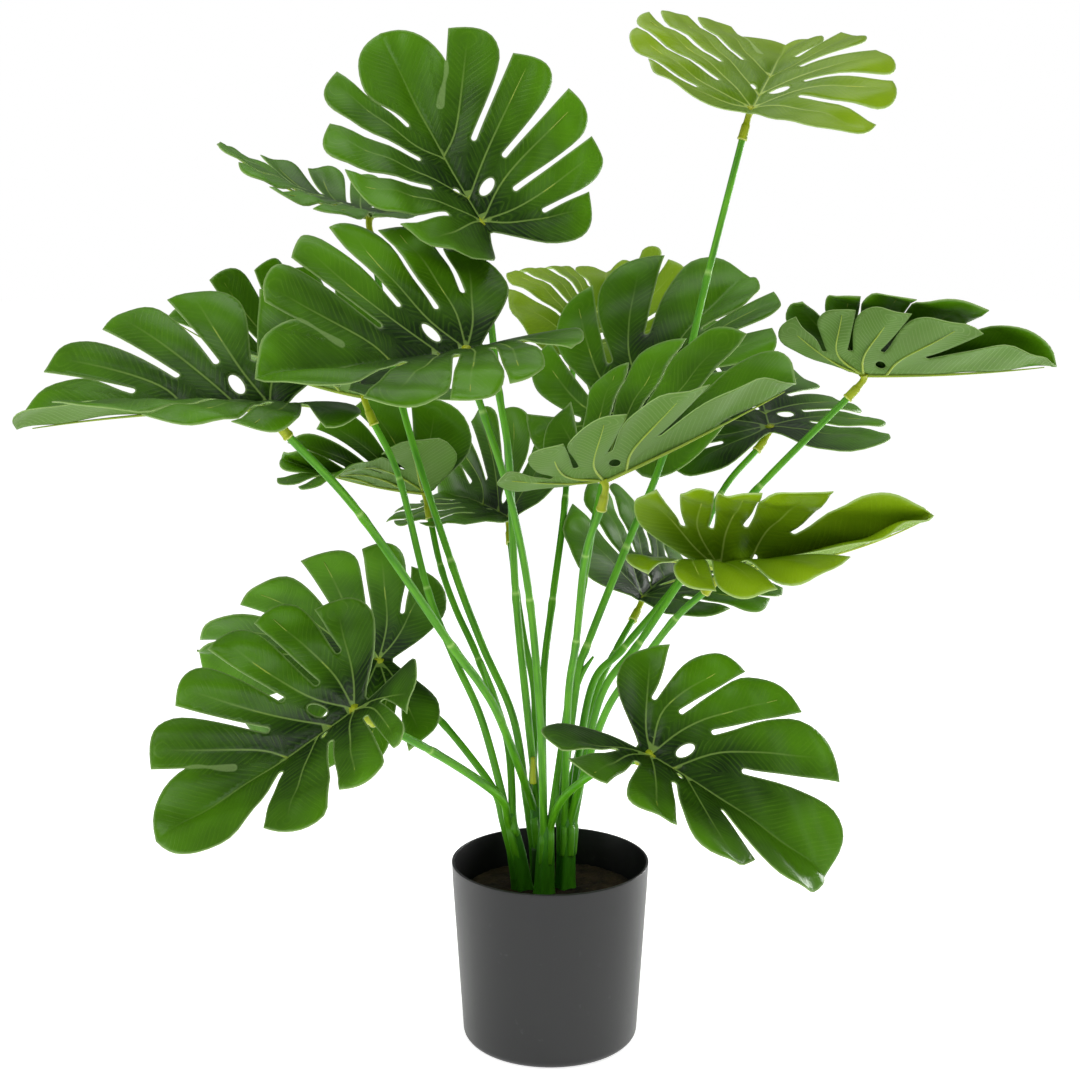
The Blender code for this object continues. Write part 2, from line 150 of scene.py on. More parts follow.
@dataclass(frozen=True)
class Leaf:
    """A leaf and the stem that carries it. Lengths are in millimetres and angles in degrees.

    stalk is where the stalk meets the midrib. heading, pitch and roll aim the midrib. droop bends it over its
    length, twist turns the leaf about it, and back bends the part behind the stalk. fold lifts each half from
    the midrib, and curl bends it onwards, left then right. seat is the stem's place round the trunk's
    top, and route its points from there to the stalk.
    """

    name: str
    trunk: str
    seat: float
    route: tuple
    stalk: tuple
    heading: float
    pitch: float
    roll: float
    length: float
    fold: tuple
    curl: tuple
    left: Margin
    right: Margin
    droop: float = 0.0
    twist: float = 0.0
    back: float = 0.0
    pale: bool = False


LEAVES = (
    Leaf("top_centre", "back", 0, ((-16, -2, 238), (-24, -10, 326), (-28, -16, 417), (-35, -19, 467),
         (-43, -21, 540)), (-45, -21, 577), heading=152, pitch=54, roll=-18, length=145, fold=(10, 30),
         curl=(10, -5), left=PLAIN_SIDE, right=FULL_SIDE, droop=-10, twist=-30, back=-70),
    Leaf("top_right", "right", 180, ((19, 3, 261), (26, 3, 286), (53, 5, 356), (80, 7, 426), (107, 10, 543)),
         (135, 13, 652), heading=65, pitch=33, roll=35, length=143, fold=(0, 45), curl=(5, -70),
         left=FULL_SIDE, right=PLAIN_SIDE, droop=25, twist=-10, back=-90, pale=True),
    Leaf("upper_left", "back", 180, ((-26, 6, 232), (-48, 11, 284), (-70, 19, 343), (-105, 37, 454)),
         (-126, 57, 582), heading=170, pitch=13, roll=20, length=125, fold=(-10, 20), curl=(-30, 60),
         left=FULL_SIDE, right=PLAIN_SIDE, droop=-25, twist=5, back=-60),
    Leaf("centre_left", "front", 225, ((-7, -40, 243), (-14, -64, 332), (-26, -84, 401), (-43, -103, 460)),
         (-52, -111, 498), heading=211, pitch=-7, roll=-68, length=150, fold=(80, -10), curl=(-55, -25),
         left=WIDE_TIP_SIDE, right=FULL_SIDE, droop=-20, twist=-15),
    Leaf("far_left", "back", 270, ((-34, -45, 245), (-47, -57, 273), (-66, -72, 304), (-120, -112, 397)),
         (-169, -140, 466), heading=192, pitch=1, roll=-10, length=148, fold=(25, 50), curl=(-60, -30),
         left=WIDE_TIP_SIDE, right=PLAIN_SIDE, droop=10, twist=15, back=-10),
    Leaf("back_left", "left", 90, ((-48, 0, 232), (-68, 3, 278), (-86, 8, 325), (-105, 14, 402)),
         (-129, 20, 460), heading=216, pitch=11, roll=23, length=150, fold=(-10, 65), curl=(-35, 35),
         left=PLAIN_SIDE, right=PLAIN_SIDE, droop=-25, twist=-15, back=-10),
    Leaf("lower_back_left", "left", 0, ((-31, 20, 213), (-52, 47, 265), (-69, 66, 298), (-81, 82, 328)),
         (-94, 106, 380), heading=156, pitch=0, roll=-24, length=122, fold=(75, 70), curl=(-65, 25),
         left=PLAIN_SIDE, right=PLAIN_SIDE, droop=-20, twist=-55, back=-10),
    Leaf("low_centre", "back", 90, ((-11, 30, 239), (-19, 62, 277), (-25, 88, 309)), (-31, 127, 357),
         heading=120, pitch=9, roll=0, length=125, fold=(10, 65), curl=(-30, 15), left=PLAIN_SIDE,
         right=PLAIN_SIDE, droop=15, twist=-20, back=-20),
    Leaf("back_right", "front", 45, ((15, 20, 255), (25, 47, 326), (39, 70, 392)), (61, 86, 440),
         heading=36, pitch=57, roll=-4, length=150, fold=(30, 0), curl=(15, -25), left=WIDE_TIP_SIDE,
         right=PLAIN_SIDE, droop=30, twist=5, back=10),
    Leaf("back_light", "front", 135, ((-5, 37, 247), (2, 74, 303), (12, 120, 373)), (23, 208, 481),
         heading=58, pitch=42, roll=54, length=127, fold=(30, 25), curl=(-90, 40), left=PLAIN_SIDE,
         right=PLAIN_SIDE, droop=40, twist=-50, back=-10, pale=True),
    Leaf("centre_right", "right", 240, ((12, -32, 257), (17, -56, 303), (22, -80, 364)), (32, -101, 417),
         heading=-27, pitch=25, roll=19, length=141, fold=(30, 35), curl=(10, 5), left=WIDE_TIP_SIDE,
         right=WIDE_TIP_SIDE, droop=-5, back=-20),
    Leaf("right", "right", 0, ((35, 0, 248), (62, -6, 290), (102, -10, 352), (142, -13, 400)),
         (209, -18, 477), heading=-33, pitch=1, roll=40, length=131, fold=(75, 65), curl=(75, 35),
         left=WIDE_TIP_SIDE, right=WIDE_TIP_SIDE, droop=-10, twist=5),
    Leaf("right_back", "right", 60, ((29, 18, 250), (53, 29, 278), (98, 52, 329), (125, 70, 384)),
         (161, 87, 431), heading=92, pitch=24, roll=-10, length=150, fold=(10, -15), curl=(-25, 5),
         left=WIDE_TIP_SIDE, right=PLAIN_SIDE, twist=30, back=-15),
    Leaf("light_right", "right", 300, ((37, -40, 248), (59, -63, 288), (81, -83, 324)), (106, -103, 360),
         heading=-20, pitch=5, roll=39, length=146, fold=(75, 65), curl=(80, -75), left=WIDE_TIP_SIDE,
         right=WIDE_TIP_SIDE, droop=-35, twist=15, back=-15, pale=True),
    Leaf("right_back_low", "right", 120, ((32, 53, 232), (48, 81, 261)), (71, 114, 298), heading=65,
         pitch=12, roll=14, length=147, fold=(40, 35), curl=(0, -65), left=PLAIN_SIDE, right=FULL_SIDE,
         droop=35),
    Leaf("low_left", "left", 270, ((-33, -38, 186), (-48, -57, 206), (-79, -89, 237)), (-123, -134, 277),
         heading=198, pitch=-34, roll=-41, length=143, fold=(35, 0), curl=(0, 5), left=BROAD_LOBE_SIDE,
         right=FULL_SIDE, droop=-15, twist=-10, back=-90),
    Leaf("low_left_back", "left", 180, ((-38, -5, 179), (-50, 0, 197), (-78, 11, 229)), (-122, 26, 270),
         heading=186, pitch=6, roll=-62, length=133, fold=(10, 45), curl=(-25, -15), left=WIDE_TIP_SIDE,
         right=FULL_SIDE, droop=25, twist=-55),
    Leaf("low_right", "front", 315, ((8, -30, 184), (22, -56, 206), (40, -88, 227)), (61, -148, 252),
         heading=-19, pitch=-26, roll=43, length=131, fold=(10, 35), curl=(5, 30), left=WIDE_TIP_SIDE,
         right=BROAD_LOBE_SIDE, droop=20, back=55),
)


@dataclass(frozen=True)
class BladeFinish:
    """Colours of a leaf: its face by the midrib and by the margin, veins, back, ribs and cut edge."""

    slot: str
    face: str
    outer: str
    vein: str
    rib: str
    back: str
    back_rib: str
    edge: str


@dataclass(frozen=True)
class PlasticFinish:
    """Colours and gloss of a moulded plastic tube."""

    slot: str
    dark: str
    light: str
    seam: str
    roughness: float


@dataclass(frozen=True)
class LeafMaterials:
    """A leaf's materials: its film's face, back and cut edge, and its ribs."""

    film: list
    ribs: bpy.types.Material


BLADES = {
    Tone.DARK: BladeFinish("leaf_dark", "#142c06", "#52880a", "#6c9828", "#86a650",
                           "#5f8038", "#a5b62a", "#93b06c"),
    Tone.PALE: BladeFinish("leaf_pale", "#5a7e08", "#86a812", "#93b430", "#b4cb62",
                           "#7d9f3e", "#b9c63a", "#b4cf86"),
}
STEM_FINISH = PlasticFinish("stem_plastic", "#387c08", "#68b41a", "#b9dd7c", 0.36)
SOCKET_FINISH = PlasticFinish("stalk_plastic", "#8a9a0e", "#b2bf1a", "#dde487", 0.40)
# The trunks wear the stems' plastic painted darker: painted shade under the leaves.
TRUNK_SHADED_FINISH = PlasticFinish("stem_plastic", "#286806", "#489412", "#8cc85a", 0.40)
# The cut stub wears the stems' plastic painted much darker: painted shade deep among the trunks.
STUB_SHADED_FINISH = PlasticFinish("stem_plastic", "#173f08", "#2a5f0c", "#4f8a3a", 0.55)


def paint(code: str) -> tuple[float, float, float, float]:
    """Turns an sRGB hex colour into linear values.

    Args:
        code: The colour as "#rrggbb".

    Returns:
        Red, green, blue and alpha, linear.
    """
    shares = [int(code[i:i + 2], 16) / 255 for i in (1, 3, 5)]
    linear = [s / 12.92 if s <= 0.04045 else ((s + 0.055) / 1.055) ** 2.4 for s in shares]
    return (*linear, 1.0)


class Shader:
    """A material whose node tree is filled one node at a time."""

    def __init__(self, name: str) -> None:
        """Starts from Blender's default Principled material.

        Args:
            name: The material's name.
        """
        self.material = bpy.data.materials.new(name)
        self.material.use_nodes = True
        self.tree = self.material.node_tree
        self.surface = self.tree.nodes["Principled BSDF"]

    def set(self, node: bpy.types.Node, key: str | int, value: object) -> None:
        """Links a socket to an input, or sets a constant on it.

        Args:
            node: The node.
            key: The input's name or number.
            value: A socket, or the constant.
        """
        if isinstance(value, bpy.types.NodeSocket):
            self.tree.links.new(value, node.inputs[key])
        else:
            node.inputs[key].default_value = value

    def add(self, kind: str, inputs: dict, settings: dict | None = None,
            output: str | int = 0) -> bpy.types.NodeSocket:
        """Adds a node.

        Args:
            kind: The node's type name.
            inputs: Values or sockets by input name or number.
            settings: The node's own properties.
            output: Which output is wanted.

        Returns:
            That output's socket.
        """
        node = self.tree.nodes.new(kind)
        for key, value in (settings or {}).items():
            setattr(node, key, value)
        for key, value in inputs.items():
            self.set(node, key, value)
        return node.outputs[output]

    def math(self, operation: str, a: object, b: object = 0.0) -> bpy.types.NodeSocket:
        """A Math node's result for two values or sockets."""
        return self.add("ShaderNodeMath", {0: a, 1: b}, {"operation": operation})

    def ramp(self, value: object, low: float, high: float) -> bpy.types.NodeSocket:
        """Maps low to 0 and high to 1, clamped."""
        return self.add("ShaderNodeMapRange", {"Value": value, "From Min": low, "From Max": high})

    def mix(self, share: object, a: object, b: object) -> bpy.types.NodeSocket:
        """Mixes two colours.

        Args:
            share: How much of b.
            a: First colour, as a socket or a hex code.
            b: Second colour, as a socket or a hex code.

        Returns:
            The mixed colour's socket.
        """
        a = paint(a) if isinstance(a, str) else a
        b = paint(b) if isinstance(b, str) else b
        return self.add("ShaderNodeMix", {0: share, 6: a, 7: b}, {"data_type": "RGBA"}, 2)

    def noise(self, vector: object, scale: float, detail: float = 2.0) -> bpy.types.NodeSocket:
        """Noise, its scale in features per unit of the coordinates."""
        return self.add("ShaderNodeTexNoise", {"Vector": vector, "Scale": scale, "Detail": detail})

    def read(self, name: str) -> bpy.types.NodeSocket:
        """Reads one of the mesh's own values by its name."""
        return self.add("ShaderNodeAttribute", {}, {"attribute_name": name}, "Fac")

    def place(self) -> bpy.types.NodeSocket:
        """The object coordinates, in metres."""
        return self.add("ShaderNodeTexCoord", {}, None, "Object")

    def finish(self, colour: object, roughness: object, relief: object, depth: float, gloss: float = 0.5,
               coat: float = 0.0) -> bpy.types.Material:
        """Connects the surface.

        Args:
            colour: The base colour's socket.
            roughness: Roughness, as a value or a socket.
            relief: The bump's height socket.
            depth: The bump's depth in metres.
            gloss: Specular level.
            coat: Clear coat's weight.

        Returns:
            The material.
        """
        bump = self.add("ShaderNodeBump", {"Height": relief, "Distance": depth, "Strength": 0.6})
        self.set(self.surface, "Base Color", colour)
        self.set(self.surface, "Roughness", roughness)
        self.set(self.surface, "Normal", bump)
        self.set(self.surface, "Specular IOR Level", gloss)
        self.set(self.surface, "Coat Weight", coat)
        self.set(self.surface, "Coat Roughness", 0.28)
        return self.material


def face_material(finish: BladeFinish) -> bpy.types.Material:
    """Printed leaf film: dark by the midrib, brighter at the lobes' ends, with fine veins and a soft sheen.

    Args:
        finish: The leaf's colours.

    Returns:
        The material.
    """
    s = Shader(f"{finish.slot}_face")
    rib = s.read("rib")
    place = s.place()
    cloud = s.noise(place, 30.0, 3.0)  # patches about 33 mm wide
    grain = s.noise(place, 1100.0, 2.0)  # 0.9 mm, coarser than the real film's so that it shows
    tone = s.math("ADD", s.read("reach"), s.math("MULTIPLY", s.math("SUBTRACT", cloud, 0.5), 0.9))
    colour = s.mix(s.ramp(tone, 0.15, 1.05), finish.face, finish.outer)
    phase = s.math("SUBTRACT", s.read("along"), s.math("MULTIPLY", rib, 0.9))
    phase = s.math("ADD", phase, s.math("MULTIPLY", cloud, 0.06))
    wave = s.math("SINE", s.math("MULTIPLY", phase, VEINS * 2 * math.pi))
    faint = s.math("MULTIPLY", s.ramp(rib, 0.0, 0.03), s.ramp(s.noise(place, 70.0), 0.25, 0.75))
    vein = s.math("MULTIPLY", s.ramp(wave, 0.45, 1.0), faint)
    colour = s.mix(s.math("MULTIPLY", vein, 0.24), colour, finish.vein)
    streak = s.ramp(s.math("SINE", s.math("MULTIPLY", phase, VEINS * 5.0)), 0.0, 1.0)
    colour = s.mix(s.math("MULTIPLY", streak, 0.10), colour, finish.outer)
    line = s.math("MULTIPLY", s.ramp(rib, 0.0060, 0.0015), s.ramp(s.read("fade"), 1.0, 0.35))
    colour = s.mix(s.math("MULTIPLY", line, 0.68), colour, finish.rib)
    border = s.ramp(s.read("edge"), 0.009, 0.003)
    colour = s.mix(s.math("MULTIPLY", border, 0.45), colour, finish.edge)
    height = s.math("ADD", s.math("MULTIPLY", grain, 0.25), s.math("MULTIPLY", vein, -0.30))
    roughness = s.add("ShaderNodeMapRange", {"Value": cloud, "To Min": 0.30, "To Max": 0.44})
    return s.finish(colour, roughness, height, 0.0005, 0.12, 0.05)


def back_material(finish: BladeFinish) -> bpy.types.Material:
    """The leaf's matt back: olive, slightly mottled, with faint veins.

    Args:
        finish: The leaf's colours.

    Returns:
        The material.
    """
    s = Shader(f"{finish.slot}_back")
    place = s.place()
    rib = s.read("rib")
    cloud = s.noise(place, 45.0, 3.0)  # patches about 22 mm wide
    grain = s.noise(place, 1300.0, 2.0)  # 0.8 mm, coarser than the real one so that it shows
    phase = s.math("SUBTRACT", s.read("along"), s.math("MULTIPLY", rib, 0.9))
    vein = s.ramp(s.math("SINE", s.math("MULTIPLY", phase, VEINS * 2 * math.pi)), 0.6, 1.0)
    colour = s.mix(s.math("MULTIPLY", s.ramp(cloud, 0.3, 0.8), 0.35), finish.back, finish.outer)
    colour = s.mix(s.math("MULTIPLY", vein, 0.22), colour, finish.edge)
    height = s.math("ADD", s.math("MULTIPLY", grain, 0.4), s.math("MULTIPLY", vein, 0.5))
    return s.finish(colour, 0.62, height, 0.0004, 0.25)


def edge_material(finish: BladeFinish) -> bpy.types.Material:
    """The die-cut edge, paler than the film's faces.

    Args:
        finish: The leaf's colours.

    Returns:
        The material.
    """
    s = Shader(f"{finish.slot}_edge")
    grain = s.noise(s.place(), 700.0, 2.0)  # specks 1.4 mm long on the cut
    colour = s.mix(s.math("MULTIPLY", grain, 0.5), finish.edge, finish.vein)
    return s.finish(colour, 0.55, grain, 0.0002, 0.3)


def plastic_material(name: str, finish: PlasticFinish, streaks: float = 26.0) -> bpy.types.Material:
    """Moulded polyethylene: mottled along its length, with light seams where tubes plug together.

    Args:
        name: The material's name.
        finish: Its colours.
        streaks: Mottles per metre along the tube.

    Returns:
        The material.
    """
    s = Shader(name)
    lengthwise = s.math("MULTIPLY", s.read("along"), streaks)
    vector = s.add("ShaderNodeCombineXYZ", {"X": lengthwise, "Y": s.math("MULTIPLY", s.read("around"), 3.0)})
    mottle = s.noise(vector, 1.0, 4.0)
    grain = s.noise(s.place(), 1600.0, 2.0)  # 0.6 mm, coarser than the mould's so that it shows
    colour = s.mix(s.ramp(mottle, 0.30, 0.72), finish.dark, finish.light)
    colour = s.mix(s.math("MULTIPLY", s.read("seam"), 0.55), colour, finish.seam)
    roughness = s.add("ShaderNodeMapRange", {"Value": mottle, "To Min": finish.roughness - 0.06,
                                             "To Max": finish.roughness + 0.10})
    return s.finish(colour, roughness, s.math("ADD", grain, mottle), 0.0003, 0.32)


def pot_material() -> bpy.types.Material:
    """Charcoal injection-moulded plastic with a satin skin, faint flow marks and light scuffs.

    Returns:
        The material.
    """
    s = Shader("pot_satin_plastic")
    place = s.place()
    tall = s.add("ShaderNodeMapping", {"Vector": place, "Scale": (60.0, 60.0, 4.0)})  # marks 17 x 250 mm
    flow = s.noise(tall, 1.0, 3.0)
    grain = s.noise(place, 2200.0, 2.0)  # the mould's texture, 0.45 mm
    scuff = s.ramp(s.noise(place, 160.0, 6.0), 0.66, 0.78)
    colour = s.mix(flow, "#121214", "#1a1a1d")
    colour = s.mix(s.math("MULTIPLY", scuff, 0.25), colour, "#4a4a4d")
    roughness = s.add("ShaderNodeMapRange", {"Value": flow, "To Min": 0.34, "To Max": 0.46})
    return s.finish(colour, roughness, s.math("ADD", grain, s.math("MULTIPLY", flow, 0.3)), 0.00012, 0.5)


def filling_material() -> bpy.types.Material:
    """Dark cement with soil crumbs pressed into it.

    Returns:
        The material.
    """
    s = Shader("filling_soil_cement")
    place = s.place()
    crumbs = s.add("ShaderNodeTexVoronoi", {"Vector": place, "Scale": 420.0}, None, "Distance")
    clods = s.noise(place, 90.0, 5.0)  # clods of 11 mm, and the crumbs of 2.4 mm
    colour = s.mix(s.ramp(clods, 0.35, 0.7), "#17110d", "#3a2c20")
    colour = s.mix(s.math("MULTIPLY", s.ramp(crumbs, 0.25, 0.0), 0.4), colour, "#5a4632")
    return s.finish(colour, 0.93, s.math("ADD", clods, s.math("MULTIPLY", crumbs, -0.6)), 0.0015, 0.2)


def as_rows(points: list[Vector]) -> np.ndarray:
    """Points as an array, one a row."""
    return np.array([tuple(point) for point in points])


def run_along(spots: np.ndarray) -> np.ndarray:
    """The length run along a line at each of its points."""
    return np.concatenate([[0.0], np.cumsum(np.linalg.norm(np.diff(spots, axis=0), axis=1))])


def spline(points: list[Vector], count: int) -> list[Vector]:
    """Evenly spread points of a smooth curve through the given ones.

    Args:
        points: Points in order, in two or three dimensions.
        count: How many points are wanted.

    Returns:
        The points, first and last included.
    """
    ends = [2 * points[0] - points[1], *points, 2 * points[-1] - points[-2]]
    fine = []
    for a, b, c, d in zip(ends, ends[1:], ends[2:], ends[3:]):
        for step in range(16):
            t = step / 16
            fine.append(0.5 * ((2 * b) + (c - a) * t + (2 * a - 5 * b + 4 * c - d) * t * t
                               + (3 * b - a - 3 * c + d) * t ** 3))
    fine.append(points[-1])
    spots = as_rows(fine)
    run = run_along(spots)
    wanted = np.linspace(0.0, run[-1], count)
    columns = [np.interp(wanted, run, spots[:, i]) for i in range(spots.shape[1])]
    return [Vector(row) for row in np.stack(columns, axis=1)]


def arc_end(distance: np.ndarray, start: np.ndarray, rate: np.ndarray) -> tuple[np.ndarray, np.ndarray]:
    """Where arcs end, along and across their first direction.

    Args:
        distance: Length run along each arc.
        start: Angle at the start, in radians.
        rate: Turn per length, in radians.

    Returns:
        The distances along and across.
    """
    rate = np.where(np.abs(rate) > 1e-5, rate, 1e-5)
    end = start + rate * distance
    return (np.sin(end) - np.sin(start)) / rate, (np.cos(start) - np.cos(end)) / rate


def nearest(points: np.ndarray, starts: np.ndarray,
            ends: np.ndarray) -> tuple[np.ndarray, np.ndarray, np.ndarray]:
    """The nearest of several segments to each point.

    Args:
        points: Points, one a row.
        starts: The segments' first ends.
        ends: The segments' last ends.

    Returns:
        The distances, the segments' numbers and the shares along them.
    """
    run = ends - starts
    share = ((points[:, None] - starts) * run).sum(2) / np.maximum((run * run).sum(1), 1e-12)
    share = np.clip(share, 0.0, 1.0)
    gap = np.linalg.norm(points[:, None] - (starts + share[..., None] * run), axis=2)
    index = gap.argmin(1)
    rows = np.arange(len(points))
    return gap[rows, index], index, share[rows, index]


def inside(points: np.ndarray, loop: np.ndarray) -> np.ndarray:
    """Which points lie inside a closed outline.

    Args:
        points: Points, one a row.
        loop: The outline's points.

    Returns:
        True for each point inside.
    """
    x, y = points[:, :1], points[:, 1:]
    x0, y0 = loop[:, 0], loop[:, 1]
    x1, y1 = np.roll(x0, -1), np.roll(y0, -1)
    level = np.where(y1 == y0, 1e-12, y1 - y0)
    crossed = ((y0 > y) != (y1 > y)) & (x < (x1 - x0) * (y - y0) / level + x0)
    return crossed.sum(1) % 2 == 1


def add_mesh(name: str, points: np.ndarray, faces: list, values: dict[str, np.ndarray],
             materials: list[bpy.types.Material], slots: np.ndarray | None = None) -> bpy.types.Object:
    """Makes a smooth mesh object with its own values for the materials.

    Args:
        name: The object's name.
        points: Its vertices, in metres.
        faces: Its faces.
        values: One value a vertex, by attribute name.
        materials: Its materials.
        slots: Each face's material number.

    Returns:
        The object, linked to the scene.
    """
    mesh = bpy.data.meshes.new(name)
    mesh.from_pydata(points.tolist(), [], faces)
    for key, numbers in values.items():
        layer = mesh.attributes.new(key, "FLOAT", "POINT")
        layer.data.foreach_set("value", np.asarray(numbers, np.float32))
    for material in materials:
        mesh.materials.append(material)
    if slots is not None:
        mesh.polygons.foreach_set("material_index", slots)
    mesh.shade_smooth()
    obj = bpy.data.objects.new(name, mesh)
    bpy.context.scene.collection.objects.link(obj)
    return obj


class Sweep:
    """Tubes swept along routes and gathered into one mesh, each with its own radii, section and seams."""

    def __init__(self, sides: int = 16) -> None:
        """Starts with no tube.

        Args:
            sides: Vertices round a tube.
        """
        self.sides = sides
        self.points: list[np.ndarray] = []
        self.faces: list[tuple] = []
        self.along: list[float] = []
        self.around: list[float] = []
        self.seam: list[float] = []

    def add(self, route: list[Vector], radii: list[float], section: list[float] | None = None,
            seams: list[float] | None = None) -> None:
        """Adds a closed tube.

        Args:
            route: The centre line.
            radii: Radius at each point of it.
            section: How far each side stands out, as a share of the radius.
            seams: How light each point of the route is, 0 to 1.
        """
        first = len(self.along)
        section = section or [1.0] * self.sides
        seams = seams or [0.0] * len(route)
        direction = (route[1] - route[0]).normalized()
        side = direction.orthogonal().normalized()
        run = 0.0
        for index, centre in enumerate(route):
            before, after = route[max(index - 1, 0)], route[min(index + 1, len(route) - 1)]
            forward = (after - before).normalized()
            side = (side - forward * side.dot(forward)).normalized()
            other = forward.cross(side)
            run += (centre - before).length
            for step in range(self.sides):
                angle = 2 * math.pi * step / self.sides
                out = side * math.cos(angle) + other * math.sin(angle)
                self.points.append(np.array(centre + out * radii[index] * section[step]))
                self.along.append(run)
                self.around.append(abs(2 * step / self.sides - 1))
                self.seam.append(seams[index])
        for ring in range(len(route) - 1):
            low = first + ring * self.sides
            high = low + self.sides
            for step in range(self.sides):
                after = (step + 1) % self.sides
                self.faces.append((low + step, low + after, high + after, high + step))
        last = first + (len(route) - 1) * self.sides
        self.faces.append(tuple(range(first + self.sides - 1, first - 1, -1)))
        self.faces.append(tuple(range(last, last + self.sides)))

    def build(self, name: str, material: bpy.types.Material) -> bpy.types.Object:
        """Makes the object.

        Args:
            name: Its name.
            material: Its material.

        Returns:
            The object.
        """
        values = {"along": np.array(self.along), "around": np.array(self.around), "seam": np.array(self.seam)}
        return add_mesh(name, np.array(self.points), self.faces, values, [material])


def bezier(a: Vector, b: Vector, c: Vector, d: Vector, count: int) -> list[Vector]:
    """Points of a cubic curve from a up to, but without, d.

    Args:
        a: The start.
        b: The first handle.
        c: The second handle.
        d: The end.
        count: How many points.

    Returns:
        The points.
    """
    shares = [step / count for step in range(count)]
    return [a * (1 - t) ** 3 + b * 3 * t * (1 - t) ** 2 + c * 3 * t * t * (1 - t) + d * t ** 3
            for t in shares]


def half_outline(margin: Margin, count: int) -> list[Vector]:
    """The outline of one side from the tip to the sinus behind the stalk.

    Args:
        margin: The side's lobes and slits.
        count: Points on each curved stretch.

    Returns:
        The outline's points.
    """
    slits = [*margin.slits, SINUS]
    outline = []
    for index, (corner, shoulder, slit) in enumerate(zip(margin.corners, margin.shoulders, slits)):
        corner, shoulder, slit = Vector(corner), Vector(shoulder), Vector(slit)
        chord = shoulder - corner
        outward = Vector((-chord.y, chord.x))
        if outward.dot((corner + shoulder) / 2 - Vector((0.1, 0.0))) < 0:
            outward = -outward
        along = (slit - corner).normalized() * chord.length
        swollen = corner + chord * 0.35 + outward * 0.20
        outline += bezier(corner, swollen, shoulder - along * 0.45, shoulder, count)
        if index == len(margin.slits):
            outline += bezier(shoulder, shoulder + along * 0.35, slit + (shoulder - slit) * 0.25, slit, count)
            break
        following = Vector(margin.corners[index + 1])
        axis = ((shoulder + following) / 2 - slit).normalized()
        across = Vector((-axis.y, axis.x))
        if across.dot(shoulder - following) < 0:
            across = -across
        centre = slit + axis * SLIT_END_RADIUS
        entry = centre + across * SLIT_END_RADIUS
        leave = centre - across * SLIT_END_RADIUS
        outline += bezier(shoulder, shoulder + along * 0.35, entry + axis * 0.10, entry, count)
        for step in range(7):
            angle = math.pi * step / 6
            outline.append(centre + (across * math.cos(angle) - axis * math.sin(angle)) * SLIT_END_RADIUS)
        arriving = following + (leave - following) * 0.3
        outline += bezier(leave, leave + axis * 0.10, arriving, following, count)[1:]
    outline.append(Vector(slits[-1]))
    return outline


def rib_lines(margin: Margin, side: int) -> list[list[Vector]]:
    """The lobes' ribs on one side, each from the midrib through its lobe's neck to near its corner.

    Args:
        margin: The side's lobes and slits.
        side: 1 for the left side and -1 for the right.

    Returns:
        The ribs' points.
    """
    slits = [Vector(slit) for slit in (*margin.slits, SINUS)]
    lines = []
    for index in range(1, len(margin.corners)):
        neck = (slits[index - 1] + slits[index]) / 2
        start = Vector((max(0.0, neck.x - 0.85 * neck.y), 0.0))
        end = Vector(margin.corners[index]) * 0.62 + Vector(margin.shoulders[index]) * 0.38
        end = neck.lerp(end, 0.95)
        points = spline([start, neck, end], 16)
        lines.append([Vector((point.x, point.y * side)) for point in points])
    return lines


def oval(hole: tuple, side: int) -> np.ndarray:
    """The outline of a hole in the leaf.

    Args:
        hole: Its place, half axes and the long axis's angle in degrees.
        side: 1 for the left side and -1 for the right.

    Returns:
        Its points.
    """
    u, v, long, short, lean = hole
    turn = math.radians(lean)
    angles = np.linspace(0.0, 2 * math.pi, 20, endpoint=False)
    x, y = long * np.cos(angles), short * np.sin(angles)
    return np.stack([u + x * math.cos(turn) - y * math.sin(turn),
                     (v + x * math.sin(turn) + y * math.cos(turn)) * side], axis=1)


